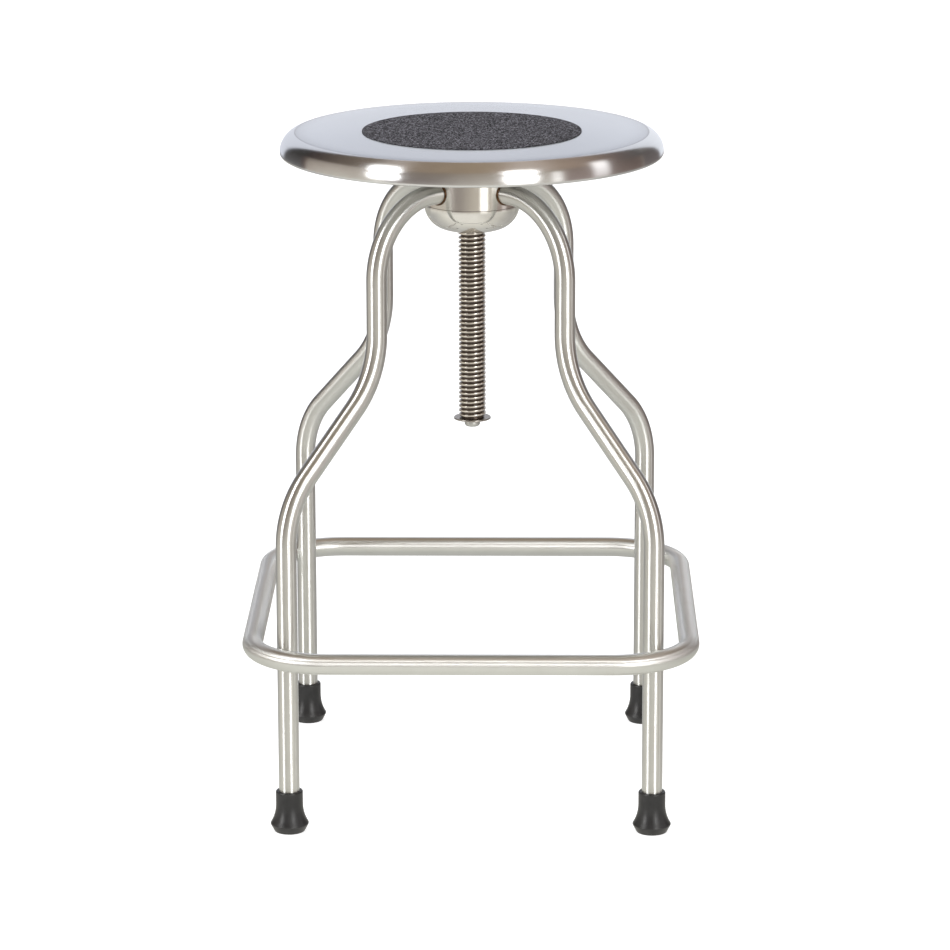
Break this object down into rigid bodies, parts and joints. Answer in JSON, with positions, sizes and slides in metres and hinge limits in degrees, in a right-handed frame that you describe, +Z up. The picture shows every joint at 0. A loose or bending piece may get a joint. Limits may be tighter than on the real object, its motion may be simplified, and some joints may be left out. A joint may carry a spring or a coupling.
{
  "type": "medical stool",
  "caption": "Stainless stool with a round pan seat on a lift screw: turning the seat raises it. Bent tube legs on a round hub, a square foot rail and rubber tips.",
  "frame": {"origin": "on the floor, on the axis of the lift screw, midway between the feet", "axes": "+Z up along the lift screw, +X to the right and +Y to the back, with the legs on the diagonals"},
  "size_m": [0.4214, 0.4214, 0.6256],
  "materials": {
    "seat_steel": "stainless steel, fine satin",
    "mat_grit": "dark grey anti-slip sheet with a fine grit",
    "pressed_steel": "stainless sheet as rolled",
    "plate_steel": "turned steel plate",
    "weld_steel": "weld metal with a brown heat tint",
    "zinc_steel": "bright zinc-plated steel",
    "screw_steel": "machined steel, oiled",
    "washer_steel": "plain steel washer",
    "hub_steel": "turned stainless steel",
    "polished_steel": "mirror-polished stainless steel",
    "bronze": "turned bronze",
    "nylon": "natural nylon",
    "tube_steel": "stainless tube, bright polished",
    "tip_rubber": "black moulded rubber"
  },
  "bodies": {
    "frame": {"hub_body": "hub_steel", "hub_dome_cap": "polished_steel", "lift_nut": "bronze", "nut_screws": "zinc_steel", "thrust_washer": "nylon", "leg_front_left": "tube_steel", "leg_front_right": "tube_steel", "leg_back_left": "tube_steel", "leg_back_right": "tube_steel", "leg_hub_welds": "weld_steel", "footrest_ring": "tube_steel", "footrest_welds": "weld_steel", "foot_tip_front_left": "tip_rubber", "foot_tip_front_right": "tip_rubber", "foot_tip_back_left": "tip_rubber", "foot_tip_back_right": "tip_rubber", "foot_washers": "zinc_steel"},
    "stop_washer": {"stop_washer": "washer_steel"},
    "seat": {"seat_pan": "seat_steel", "seat_mat": "mat_grit", "seat_stiffener": "pressed_steel", "screw_flange": "plate_steel", "flange_weld": "weld_steel", "flange_bolts": "zinc_steel", "flange_lock_washers": "zinc_steel", "flange_weld_nuts": "zinc_steel", "lift_screw": "screw_steel", "stop_screw": "zinc_steel", "stop_lock_washer": "zinc_steel", "stop_spacer": "zinc_steel"}
  },
  "joints": [
    {"name": "seat_lift", "type": "slide", "parent": "frame", "child": "stop_washer", "axis": [0, 0, 1], "range_m": [0, 0.1757]},
    {"name": "seat_turn", "type": "hinge", "parent": "stop_washer", "child": "seat", "pos_m": [0, 0, 0.35], "axis": [0, 0, 1], "range_deg": [0, 14940]}
  ],
  "couplings": [
    {"joint": "seat_lift", "follows": "seat_turn", "m_per_rad": 0.00067376}
  ]
}
